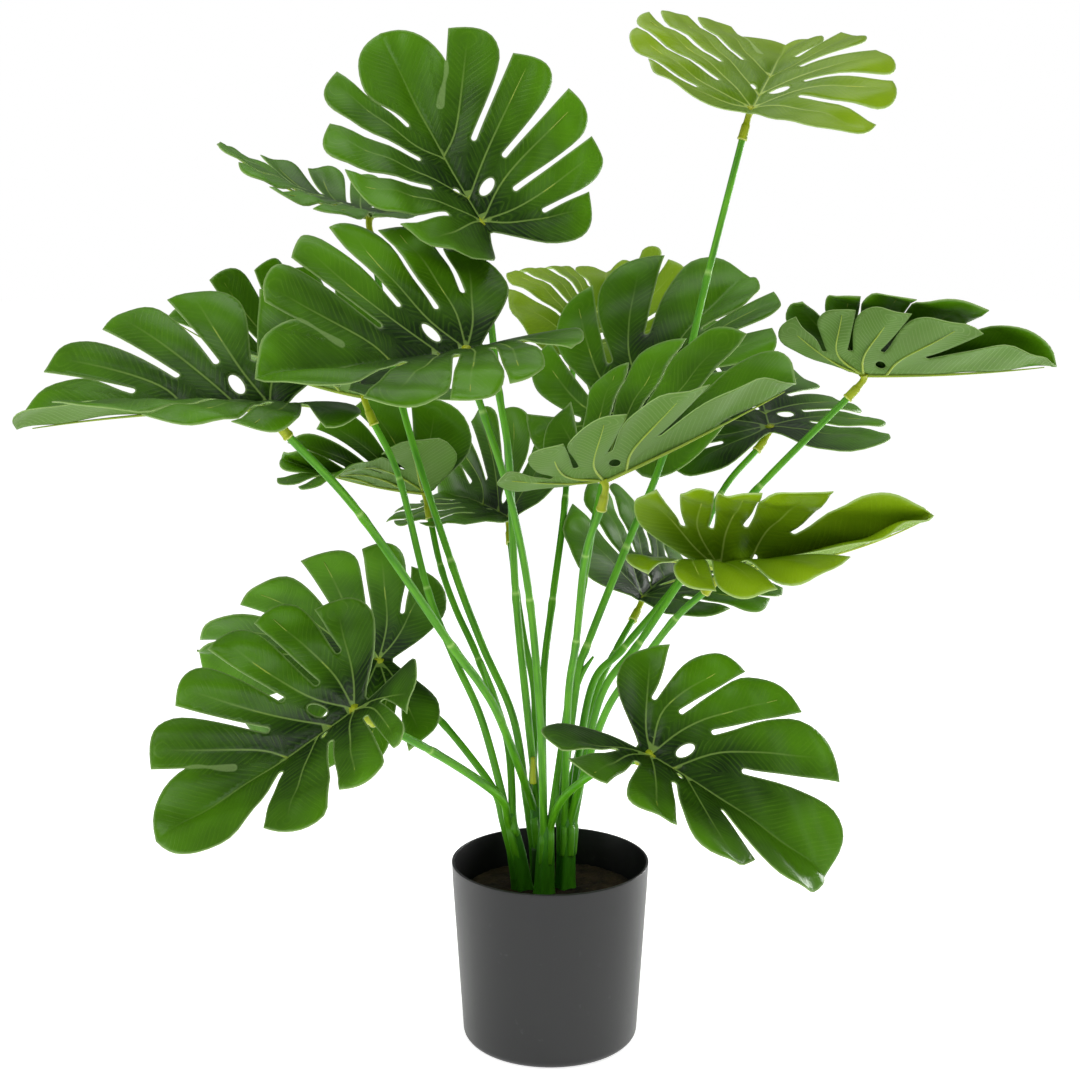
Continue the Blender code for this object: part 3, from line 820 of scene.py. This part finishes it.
class LeafForm:
    """Bends a leaf's flat drawing into its place in space."""

    def __init__(self, leaf: Leaf) -> None:
        """Works out the leaf's axes.

        Args:
            leaf: The leaf.
        """
        self.leaf = leaf
        heading, pitch, roll = (math.radians(angle) for angle in (leaf.heading, leaf.pitch, leaf.roll))
        level_reach = math.cos(pitch)
        along = Vector((level_reach * math.cos(heading), level_reach * math.sin(heading), math.sin(pitch)))
        level = Vector((-math.sin(heading), math.cos(heading), 0.0))
        left = level * math.cos(roll) + along.cross(level) * math.sin(roll)
        self.up = along.cross(left)
        self.axes = np.array([along, left, self.up])
        self.joint = Vector(leaf.stalk) / 1000

    def place(self, flat: np.ndarray) -> np.ndarray:
        """Points in space for points of the flat drawing.

        Args:
            flat: Points as (u, v), one a row.

        Returns:
            The points in metres.
        """
        leaf = self.leaf
        u, v = flat[:, 0], flat[:, 1]
        side = np.where(v >= 0, 0, 1)
        fold, curl = np.radians(np.take(leaf.fold, side)), np.radians(np.take(leaf.curl, side))
        across, rise = arc_end(np.abs(v), fold, curl)
        across = np.where(v >= 0, across, -across)
        turn = math.radians(leaf.twist) * u
        cosine, sine = np.cos(turn), np.sin(turn)
        across, rise = across * cosine - rise * sine, across * sine + rise * cosine
        rate = np.radians(np.where(u >= 0, leaf.droop, leaf.back))
        reach, drop = arc_end(np.abs(u), np.zeros_like(u), rate)
        lean = rate * np.abs(u)
        ahead = np.where(u < 0, -1.0, 1.0) * (reach + rise * np.sin(lean))
        height = rise * np.cos(lean) - drop
        offsets = np.stack([ahead, across, height], axis=1) @ self.axes
        return np.array(self.joint) + offsets * leaf.length / 1000

    def normals(self, flat: np.ndarray) -> np.ndarray:
        """The surface's directions at points of the flat drawing.

        Args:
            flat: Points as (u, v), one a row.

        Returns:
            Unit vectors out of the leaf's face.
        """
        du, dv = np.array([0.003, 0.0]), np.array([0.0, 0.003])
        lengthwise = self.place(flat + du) - self.place(flat - du)
        sideways = self.place(flat + dv) - self.place(flat - dv)
        out = np.cross(lengthwise, sideways)
        return out / np.maximum(np.linalg.norm(out, axis=1, keepdims=True), 1e-12)

    def socket_points(self) -> tuple[list[Vector], Vector]:
        """The socket's route under the blade.

        Returns:
            Its points, and the direction in which the stem goes on.
        """
        away = (Vector(self.leaf.route[-1]) / 1000 - self.joint).normalized()
        first = self.joint - self.up * 0.0004
        second = first - self.up * 0.004 + away * 0.001
        third = second - self.up * 0.001 + away * 0.005
        return [first, second, third, third + away * (STALK_LENGTH - 0.010)], away


@dataclass
class Blade:
    """A leaf's blade with its relief, holes and ribs.

    The film is meshed from its flat outline through its ribs, because no primitive holds slits, holes and a
    double bend at once.
    """

    form: LeafForm
    materials: dict[Tone, LeafMaterials]

    def drawing(self) -> tuple[np.ndarray, np.ndarray, dict]:
        """Meshes the flat drawing.

        Returns:
            Its points, its triangles and each point's values.
        """
        leaf = self.form.leaf
        left = half_outline(leaf.left, 8)
        right = [Vector((point.x, -point.y)) for point in half_outline(leaf.right, 8)]
        loop = as_rows(left + right[:0:-1])
        main = -1 if leaf.right is not BROAD_LOBE_SIDE else 1
        holes = [oval(HOLE, main), oval(PINHOLE, -main)]
        lines = [[Vector((0.97 * step / 30, 0.0)) for step in range(31)]]
        lines += rib_lines(leaf.left, 1) + rib_lines(leaf.right, -1)
        ribs = [as_rows(line) for line in lines]
        starts = np.concatenate([rib[:-1] for rib in ribs])
        ends = np.concatenate([rib[1:] for rib in ribs])
        rows = np.arange(-0.5, 1.0, GRID * 0.87)
        columns = np.arange(-0.75, 0.75, GRID)
        grid = np.array([(u, v + GRID / 2 * (i % 2)) for i, u in enumerate(rows) for v in columns])
        closed = [loop, *holes]
        rim_starts = np.concatenate(closed)
        rim_ends = np.concatenate([np.roll(ring, -1, axis=0) for ring in closed])
        keep = inside(grid, loop) & (nearest(grid, rim_starts, rim_ends)[0] > GRID * 0.55)
        keep &= nearest(grid, starts, ends)[0] > GRID * 0.5
        points, edges = [], []
        for ring in closed:
            base = len(points)
            edges += [(base + i, base + (i + 1) % len(ring)) for i in range(len(ring))]
            points += ring.tolist()
        for rib in ribs:
            base = len(points)
            edges += [(base + i, base + i + 1) for i in range(len(rib) - 1)]
            points += rib.tolist()
        points += grid[keep].tolist()
        made = delaunay_2d_cdt([Vector(p) for p in points], edges, [list(range(len(loop)))], 1, 1e-6)
        flat = as_rows(made[0])
        faces = np.array([tuple(face) for face in made[2]])
        a, b, c = (flat[faces[:, i]] for i in range(3))
        turn = (b[:, 0] - a[:, 0]) * (c[:, 1] - a[:, 1]) - (b[:, 1] - a[:, 1]) * (c[:, 0] - a[:, 0])
        faces[turn < 0] = faces[turn < 0][:, ::-1]
        centres = (a + b + c) / 3
        faces = faces[~(inside(centres, holes[0]) | inside(centres, holes[1])) & (np.abs(turn) > 1e-10)]
        used, numbers = np.unique(faces, return_inverse=True)
        flat, faces = flat[used], numbers.reshape(faces.shape)
        return flat, faces, self.values(flat, starts, ends, ribs, rim_starts, rim_ends)

    def values(self, flat: np.ndarray, starts: np.ndarray, ends: np.ndarray, ribs: list[np.ndarray],
               rim_starts: np.ndarray, rim_ends: np.ndarray) -> dict[str, np.ndarray]:
        """What the materials need to know at each point.

        Args:
            flat: The drawing's points.
            starts: First ends of the ribs' pieces.
            ends: Last ends of the ribs' pieces.
            ribs: The ribs.
            rim_starts: First ends of the outline's pieces.
            rim_ends: Last ends of the outline's pieces.

        Returns:
            Distance to a rib, place along it, distance to the edge, how far out the point lies and how far
            its rib has faded there.
        """
        rib, index, share = nearest(flat, starts, ends)
        lengths = np.linalg.norm(ends - starts, axis=1)
        run = np.concatenate([run_along(line)[1:] for line in ribs])
        along = run[index] - lengths[index] * (1 - share)
        whole = np.concatenate([np.full(len(line) - 1, np.linalg.norm(line[-1] - line[0])) for line in ribs])
        edge = nearest(flat, rim_starts, rim_ends)[0]
        reach = np.maximum(np.abs(flat[:, 1]) / 0.58, (flat[:, 0] - 0.15) / 0.85)
        return {"rib": rib, "along": along, "edge": edge, "reach": np.clip(reach, 0.0, 1.0),
                "fade": np.clip(along / whole[index], 0.0, 1.0)}

    def relief(self, flat: np.ndarray, values: dict[str, np.ndarray]) -> np.ndarray:
        """How far the film stands out of its smooth surface.

        Args:
            flat: The drawing's points.
            values: Their values.

        Returns:
            Heights in metres: grooves over the ribs, soft swells between them and edges turned down.
        """
        fading = 1 - values["fade"] ** 2
        groove = GROOVE_DEPTH * np.exp(-(values["rib"] / 0.012) ** 2) * fading
        midrib = MIDRIB_DEPTH * np.exp(-(flat[:, 1] / 0.020) ** 2) * np.clip(1 - flat[:, 0], 0.0, 1.0)
        swell = SWELL * (1 - np.exp(-(values["rib"] / 0.05) ** 2))
        droop = MARGIN_DROOP * np.exp(-values["edge"] / 0.045) * values["reach"] ** 2
        ripple = RIPPLE * np.sin(flat[:, 0] * 17 + flat[:, 1] * 23 + self.form.leaf.length)
        return swell + ripple * values["reach"] - groove - midrib - droop

    def build(self) -> list[bpy.types.Object]:
        """Makes the film and, on its back, the raised ribs.

        Returns:
            The film and the ribs.
        """
        leaf = self.form.leaf
        tone = Tone.PALE if leaf.pale else Tone.DARK
        flat, faces, values = self.drawing()
        middle = self.form.place(flat) + self.form.normals(flat) * self.relief(flat, values)[:, None]
        half = self.form.normals(flat) * BLADE_THICKNESS / 2
        count = len(flat)
        pairs = np.concatenate([faces[:, [0, 1]], faces[:, [1, 2]], faces[:, [2, 0]]])
        known = {tuple(pair) for pair in pairs.tolist()}
        rim = [(b, a, a + count, b + count) for a, b in known if (b, a) not in known]
        every = faces.tolist() + (faces[:, ::-1] + count).tolist() + sorted(rim)
        slots = np.array([0] * len(faces) + [1] * len(faces) + [2] * len(rim), np.int32)
        doubled = {key: np.concatenate([numbers, numbers]) for key, numbers in values.items()}
        film = add_mesh(f"blade_{leaf.name}", np.concatenate([middle + half, middle - half]), every, doubled,
                        self.materials[tone].film, slots)
        layer = film.data.uv_layers.new(name="flat")
        corners = np.empty(len(film.data.loops), np.int32)
        film.data.loops.foreach_get("vertex_index", corners)
        spread = np.concatenate([flat, flat])[corners] * 0.5 + (0.3, 0.5)
        layer.data.foreach_set("uv", spread.astype(np.float32).ravel())
        return [film, self.build_ribs(tone)]

    def build_ribs(self, tone: Tone) -> bpy.types.Object:
        """The raised ribs moulded on the leaf's back.

        Args:
            tone: The leaf's colour.

        Returns:
            The ribs as one piece.
        """
        leaf = self.form.leaf
        lines = [[Vector((0.94 * step / 24, 0.0)) for step in range(25)]]
        lines += rib_lines(leaf.left, 1) + rib_lines(leaf.right, -1)
        ribs = Sweep(8)
        for number, line in enumerate(lines):
            flat = as_rows(line)
            thick = MIDRIB_RADIUS if number == 0 else RIB_RADIUS
            radii = np.linspace(thick, thick * 0.25, len(line))
            sunk = (MIDRIB_SINK if number == 0 else RIB_SINK) + radii[:, None] * 0.5
            spots = self.form.place(flat) - self.form.normals(flat) * sunk
            ribs.add([Vector(spot) for spot in spots], radii.tolist())
        return ribs.build(f"ribs_{leaf.name}", self.materials[tone].ribs)


@dataclass
class Stem:
    """A stem of plugged tubes and the socket that holds its leaf."""

    form: LeafForm
    tube: bpy.types.Material
    socket: bpy.types.Material

    def route(self) -> list[Vector]:
        """The stem's points, from inside the trunk to the socket.

        Returns:
            The points in metres.
        """
        leaf = self.form.leaf
        trunk = TRUNKS[leaf.trunk]
        seat = math.radians(leaf.seat)
        out = Vector((math.cos(seat), math.sin(seat), 0.0)) * trunk.ring_radius
        top = Vector(trunk.top)
        foot = Vector((*trunk.foot, FILLING_BOX[1][2]))
        points, away = self.form.socket_points()
        return [foot.lerp(top, 0.42) + out * 0.8, foot.lerp(top, 0.75) + out * 0.95, top + out,
                *[Vector(point) / 1000 for point in leaf.route], points[-1] - away * 0.003]

    def build(self) -> list[bpy.types.Object]:
        """Makes the stem and its socket.

        Returns:
            The stem and the socket.
        """
        leaf = self.form.leaf
        knots = self.route()
        path = spline(knots, STEM_RINGS)
        spots = as_rows(path)
        run = run_along(spots)
        joints = []
        for knot in reversed(knots[4:-1]):
            place = run[np.linalg.norm(spots - np.array(knot), axis=1).argmin()]
            if not joints or joints[-1] - place > JOINT_SPACING:
                joints.append(place)
        radii, seams = [], []
        for length in run:
            radius = STEM_RADIUS + (STEM_TOP_RADIUS - STEM_RADIUS) * length / run[-1]
            seam = 0.0
            for joint in joints:
                past = length - joint
                radius *= 1 + 0.12 * math.exp(-((past + 0.0045) / 0.0040) ** 2)
                radius *= 1 - 0.08 * math.exp(-((past - 0.0030) / 0.0022) ** 2)
                seam = max(seam, math.exp(-(past / 0.0010) ** 2))
            radii.append(radius)
            seams.append(seam)
        ridge = [1.12 if step in (0, 8) else 1.0 for step in range(16)]
        tube = Sweep(16)
        tube.add(path, radii, ridge, seams)
        points, _ = self.form.socket_points()
        sleeve = Sweep(16)
        line = spline(points, SOCKET_RINGS)
        shape = np.interp(np.linspace(0, 1, SOCKET_RINGS), [0, 0.12, 0.35, 0.50, 0.56, 0.90, 0.95, 1.0],
                          [1.35, 0.95, 0.85, 0.90, 1.15, 1.22, 1.38, 1.30])
        rings = [1.0 if index > SOCKET_RINGS - 3 else 0.0 for index in range(SOCKET_RINGS)]
        sleeve.add(line, (shape * STALK_RADIUS).tolist(), ridge, rings)
        return [tube.build(f"tube_{leaf.name}", self.tube), sleeve.build(f"socket_{leaf.name}", self.socket)]


@dataclass
class Crown:
    """The trunks in the filling, with the cut stub and the spurs left over from unused branches."""

    # The trunks' material is the stems' plastic painted darker, as painted shade.
    trunk: bpy.types.Material
    # The stub's material is the stems' plastic painted much darker, as painted shade.
    stub: bpy.types.Material
    spur: bpy.types.Material
    tube: bpy.types.Material

    def build_trunk(self, trunk: Trunk) -> bpy.types.Object:
        """A fluted trunk, widest at its foot.

        Args:
            trunk: The trunk.

        Returns:
            The trunk's piece.
        """
        foot = Vector((*trunk.foot, FILLING_BOX[1][2] - 0.004))
        top = Vector(trunk.top) + Vector((0.0, 0.0, 0.004))
        bend = foot.lerp(top, 0.45) + Vector((0, 0, 0.004))
        path = spline([foot, bend, top], 30)
        wide = np.interp(np.linspace(0, 1, 30), [0, 0.12, 0.45, 0.8, 1.0], [1.22, 1.05, 0.95, 0.80, 0.55])
        flutes = [1.0 + 0.13 * math.cos(5 * 2 * math.pi * step / 30) for step in range(30)]
        shell = Sweep(30)
        shell.add(path, (wide * trunk.foot_radius).tolist(), flutes)
        return shell.build(f"shell_{trunk.name}", self.trunk)

    def build_extras(self) -> list[bpy.types.Object]:
        """The stub and the spurs.

        Returns:
            Their pieces.
        """
        buried = FILLING_BOX[1][2] * 1000 - 3
        routes = {
            "stub_cut": ([(-9, 15, buried), (-9, 15, 122), (-9.4, 15, 133)], (4.6, 4.0, 3.9), self.stub),
            "spur_left": ([(-33, -45, 243), (-38, -47, 262), (-46, -50, 287)], (2.6, 2.2, 0.9), self.tube),
            "spur_right": ([(19, 3, 258), (23, 2, 267), (30, 0, 278)], (2.4, 1.9, 0.8), self.tube),
            "spur_low": ([(-12, -12, 190), (-12, -12.5, 200), (-12, -13, 209)], (2.3, 2.1, 1.7), self.spur),
        }
        made = []
        for name, (points, radii, material) in routes.items():
            path = spline([Vector(point) / 1000 for point in points], 18)
            sizes = np.interp(np.linspace(0, 1, 18), [0, 0.5, 1], np.array(radii) / 1000)
            piece = Sweep(14)
            piece.add(path, sizes.tolist())
            made.append(piece.build(name, material))
        return made


def turned(name: str, profile: list[tuple[float, float]], sides: int,
           material: bpy.types.Material) -> bpy.types.Object:
    """A round piece drawn out ring by ring from a circle.

    Args:
        name: The piece's name.
        profile: Radius and height of each ring, in metres. A last radius of 0 closes the piece.
        sides: Vertices round it.
        material: Its material.

    Returns:
        The piece.
    """
    bpy.ops.object.select_all(action="DESELECT")
    radius, height = profile[0]
    bpy.ops.mesh.primitive_circle_add(vertices=sides, radius=radius, location=(0.0, 0.0, height))
    obj = bpy.context.object
    obj.name = name
    bpy.ops.object.transform_apply(location=True)
    bpy.ops.object.mode_set(mode="EDIT")
    bpy.ops.mesh.select_all(action="SELECT")
    for next_radius, next_height in profile[1:]:
        share = max(next_radius, CLOSING_RADIUS) / radius
        bpy.ops.mesh.extrude_region_move(TRANSFORM_OT_translate={"value": (0.0, 0.0, next_height - height)})
        bpy.ops.transform.resize(value=(share, share, 1.0))
        radius, height = max(next_radius, CLOSING_RADIUS), next_height
    if profile[-1][0] == 0.0:
        bpy.ops.mesh.merge(type="CENTER")
    bpy.ops.mesh.select_all(action="SELECT")
    bpy.ops.mesh.normals_make_consistent(inside=False)
    bpy.ops.object.mode_set(mode="OBJECT")
    obj.data.materials.append(material)
    obj.data.shade_smooth()
    return obj


def ring_arc(radius: float, height: float, size: float, start: float, end: float,
             count: int) -> list[tuple[float, float]]:
    """Points of a rounded corner in a turned profile.

    Args:
        radius: The arc's centre, out from the axis.
        height: The arc's centre, up from the ground.
        size: The arc's own radius.
        start: First angle, in degrees from outwards.
        end: Last angle.
        count: How many points.

    Returns:
        Radius and height of each point.
    """
    angles = [math.radians(start + (end - start) * i / (count - 1)) for i in range(count)]
    return [(radius + size * math.cos(a), height + size * math.sin(a)) for a in angles]


@dataclass
class Pot:
    """The moulded pot and the filling in it."""

    shell: bpy.types.Material
    filling: bpy.types.Material

    def build_shell(self) -> bpy.types.Object:
        """The pot: a thin wall, a rim with soft edges, a rounded foot and a flat bottom.

        Returns:
            The pot's piece.
        """
        rim, top = POT_BOX[1][0], POT_BOX[1][2]
        foot, rounding, wall = POT_FOOT_RADIUS, POT_FOOT_ROUNDING, POT_WALL
        profile = [(0.0004, 0.0), (0.045, 0.0), (foot - rounding - 0.003, 0.0)]
        profile += ring_arc(foot - rounding, rounding, rounding, -90, -2, 9)
        steps = 10
        profile += [(foot + (rim - foot) * i / steps, rounding + (top - 0.004 - rounding) * i / steps)
                    for i in range(1, steps)]
        profile += [(rim - 0.0002, top - 0.0030)]
        profile += ring_arc(rim - 0.0007, top - 0.0007, 0.0007, 0, 90, 5)
        profile += ring_arc(rim - wall + 0.0006, top - 0.0006, 0.0006, 90, 180, 5)
        profile += [(rim - wall - 0.0012 * i, top - 0.022 * i) for i in range(1, 5)]
        profile += [(foot - wall - 0.004, 0.006), (0.030, 0.0022), (0.0, 0.0022)]
        return turned("pot_shell", profile, 160, self.shell)

    def build_filling(self) -> bpy.types.Object:
        """The filling's crumbly top, slightly domed.

        Returns:
            The filling's piece.
        """
        level = FILLING_BOX[1][2]
        wide = FILLING_BOX[1][0]
        profile = [(wide - 0.004, level - 0.030), (wide - 0.002, level - 0.004)]
        edge = wide - 0.003
        profile += [(edge - edge * i / 26, level - 0.0015 + 0.0012 * i / 26) for i in range(26)]
        bed = turned("filling_bed", [*profile, (0.0, level - 0.0003)], 120, self.filling)
        clods = bpy.data.textures.new("clods", "CLOUDS")
        clods.noise_scale = 0.006
        clods.noise_depth = 3
        rough = bed.modifiers.new("clods", "DISPLACE")
        rough.texture = clods
        rough.strength = 0.003
        rough.mid_level = 0.62
        bpy.ops.object.modifier_apply(modifier=rough.name)
        return bed


@dataclass(frozen=True)
class SoftBox:
    """A soft box: its place and size in metres, and its power in watts."""

    name: str
    place: tuple
    width: float
    height: float
    power: float


SOFT_BOXES = (
    SoftBox("key", (-0.9, -1.3, 1.7), 0.9, 0.9, 14.0),
    SoftBox("fill", (1.2, -1.1, 0.9), 0.5, 1.4, 4.5),
    SoftBox("side", (-1.3, -0.1, 0.35), 0.7, 1.2, 4.0),
    SoftBox("strip", (0.95, 0.72, 0.25), 0.16, 1.0, 10.0),
    SoftBox("top", (0.1, 0.4, 2.0), 1.4, 1.4, 11.0),
)
CAMERA_PLACE = (-0.0072, -1.1806, 0.5619)
CAMERA_TIP = 9.677  # degrees below level
CAMERA_LENS = 57.85
AIM = (0.0, 0.0, 0.38)


class Studio:
    """The floor, the lights and the camera."""

    def build(self) -> None:
        """Makes a pale floor, a white world, soft lights and the camera."""
        bpy.ops.mesh.primitive_plane_add(size=24.0, location=(0.0, 4.0, -0.0005))
        floor = bpy.context.object
        floor.name = "floor"
        s = Shader("floor_paper")
        grain = s.noise(s.place(), 3.0, 2.0)
        s.set(s.surface, "Emission Color", paint("#ffffff"))
        s.set(s.surface, "Emission Strength", 0.78)
        floor.data.materials.append(s.finish(s.mix(grain, "#f6f6f6", "#fafafa"), 0.9, grain, 0.0001, 0.1))
        self.build_world()
        for box in SOFT_BOXES:
            self.light(box)
        self.build_camera()
        scene = bpy.context.scene
        scene.view_settings.view_transform = "Standard"
        scene.view_settings.look = "None"

    def build_world(self) -> None:
        """White to the camera, and softer as a light."""
        world = bpy.data.worlds.new("studio")
        bpy.context.scene.world = world
        world.use_nodes = True
        tree = world.node_tree
        background = tree.nodes["Background"]
        background.inputs["Color"].default_value = (1.0, 1.0, 1.0, 1.0)
        rays = tree.nodes.new("ShaderNodeLightPath")
        level = tree.nodes.new("ShaderNodeMapRange")
        level.inputs["To Min"].default_value = 0.28
        level.inputs["To Max"].default_value = 1.0
        tree.links.new(rays.outputs["Is Camera Ray"], level.inputs["Value"])
        tree.links.new(level.outputs[0], background.inputs["Strength"])

    def light(self, box: SoftBox) -> None:
        """Adds a soft box aimed at the plant's middle.

        Args:
            box: The soft box.
        """
        data = bpy.data.lights.new(box.name, "AREA")
        data.shape = "RECTANGLE"
        data.size, data.size_y = box.width, box.height
        data.energy = box.power
        lamp = bpy.data.objects.new(box.name, data)
        lamp.location = box.place
        lamp.rotation_euler = (Vector(AIM) - Vector(box.place)).to_track_quat("-Z", "Y").to_euler()
        bpy.context.scene.collection.objects.link(lamp)

    def build_camera(self) -> None:
        """The camera: level sideways and tipped down a little."""
        data = bpy.data.cameras.new("camera")
        data.sensor_width = 36.0
        data.lens = CAMERA_LENS
        camera = bpy.data.objects.new("camera", data)
        camera.location = CAMERA_PLACE
        camera.rotation_euler = (math.radians(90.0 - CAMERA_TIP), 0.0, 0.0)
        bpy.context.scene.collection.objects.link(camera)
        bpy.context.scene.camera = camera


def keep(piece: bpy.types.Object, slot: str, *nodes: str) -> None:
    """Fixes a piece to the plant's body and hides the CAD nodes that it stands in for.

    Args:
        piece: The piece.
        slot: A material slot's name; not used.
        nodes: The CAD nodes that it replaces.
    """
    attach(piece, "root")
    if nodes:
        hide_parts(*nodes)


def main() -> None:
    """Builds the plant's pieces in order, from the pot up."""
    Studio().build()
    pot = Pot(pot_material(), filling_material())
    keep(pot.build_shell(), "pot_plastic", "pot")
    keep(pot.build_filling(), "filling_cement", "filling")
    LOG.info("built the pot and its filling")
    tube = plastic_material("stem_moulded", STEM_FINISH)
    socket = plastic_material("socket_moulded", SOCKET_FINISH, 60.0)
    # The trunk material is a darker copy of the stem plastic: painted shade.
    trunk_shaded_material = plastic_material("trunk_painted_shade", TRUNK_SHADED_FINISH)
    # The stub material is a much darker copy of the stem plastic: painted shade.
    stub_shaded_material = plastic_material("stub_painted_shade", STUB_SHADED_FINISH)
    crown = Crown(trunk_shaded_material, stub_shaded_material, socket, tube)
    for trunk in TRUNKS.values():
        keep(crown.build_trunk(trunk), "stem_plastic", f"trunk_{trunk.name}")
    for piece in crown.build_extras():
        keep(piece, "stem_plastic")
    LOG.info("built the trunks")
    films = {}
    for tone, finish in BLADES.items():
        film = [face_material(finish), back_material(finish), edge_material(finish)]
        colours = PlasticFinish(finish.slot, finish.back_rib, finish.rib, finish.edge, 0.5)
        films[tone] = LeafMaterials(film, plastic_material(f"{finish.slot}_ribs", colours, 40.0))
    for leaf in LEAVES:
        form = LeafForm(leaf)
        slot = "leaf_pale" if leaf.pale else "leaf_dark"
        film, ribs = Blade(form, films).build()
        keep(film, slot, f"leaf_{leaf.name}")
        keep(ribs, slot)
        stem, sleeve = Stem(form, tube, socket).build()
        keep(stem, "stem_plastic", f"stem_{leaf.name}")
        keep(sleeve, "stalk_plastic", f"stalk_{leaf.name}")
        LOG.info("built leaf %s", leaf.name)
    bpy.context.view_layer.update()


if __name__ == "__main__":
    logging.basicConfig(level=logging.INFO)
    main()
